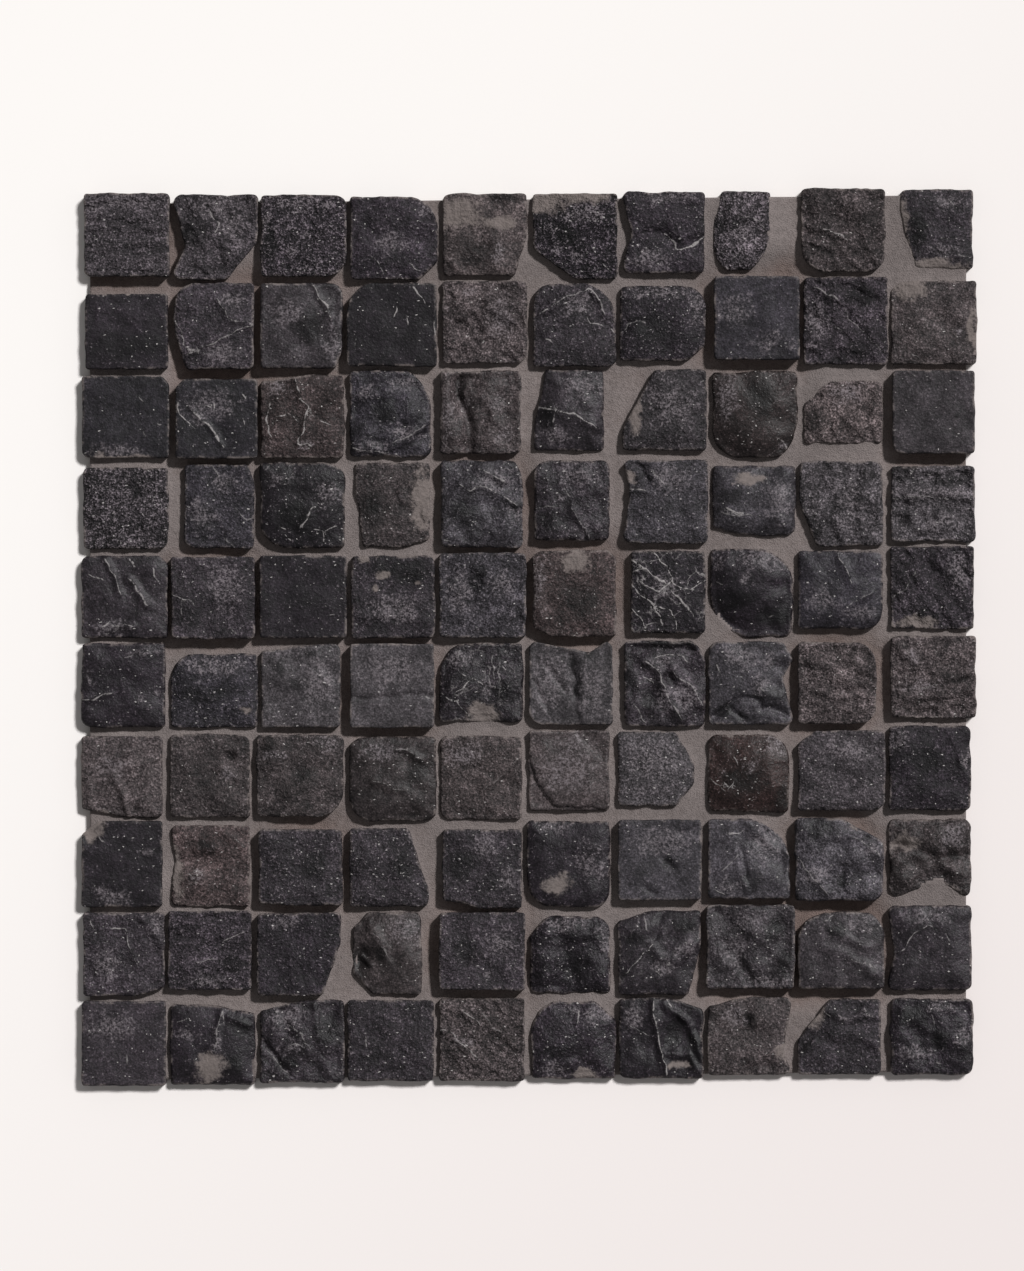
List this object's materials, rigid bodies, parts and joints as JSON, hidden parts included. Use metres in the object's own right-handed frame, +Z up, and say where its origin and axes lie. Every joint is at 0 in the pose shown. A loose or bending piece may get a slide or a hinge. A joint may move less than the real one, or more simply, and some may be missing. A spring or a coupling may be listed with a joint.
{
  "type": "cobble mosaic tile",
  "caption": "Square mosaic sheet of dark tumbled stone cobbles hand-laid in rows and bound by recessed taupe grout, for facing floors and walls.",
  "frame": {"origin": "middle of the sheet's square plan, on its flat back", "axes": "+Z up out of the face of the cobbles, +X along the rows, +Y up the columns, away from the viewer of the picture's lower edge"},
  "size_m": [0.3001, 0.3008, 0.0099],
  "materials": {
    "stone": "tumbled, matt to dull satin",
    "grout": "matt, sandy"
  },
  "bodies": {
    "root": {"cobble_row_01": "stone", "cobble_row_02": "stone", "cobble_row_03": "stone", "cobble_row_04": "stone", "cobble_row_05": "stone", "cobble_row_06": "stone", "cobble_row_07": "stone", "cobble_row_08": "stone", "cobble_row_09": "stone", "cobble_row_10": "stone", "grout": "grout"}
  },
  "joints": []
}
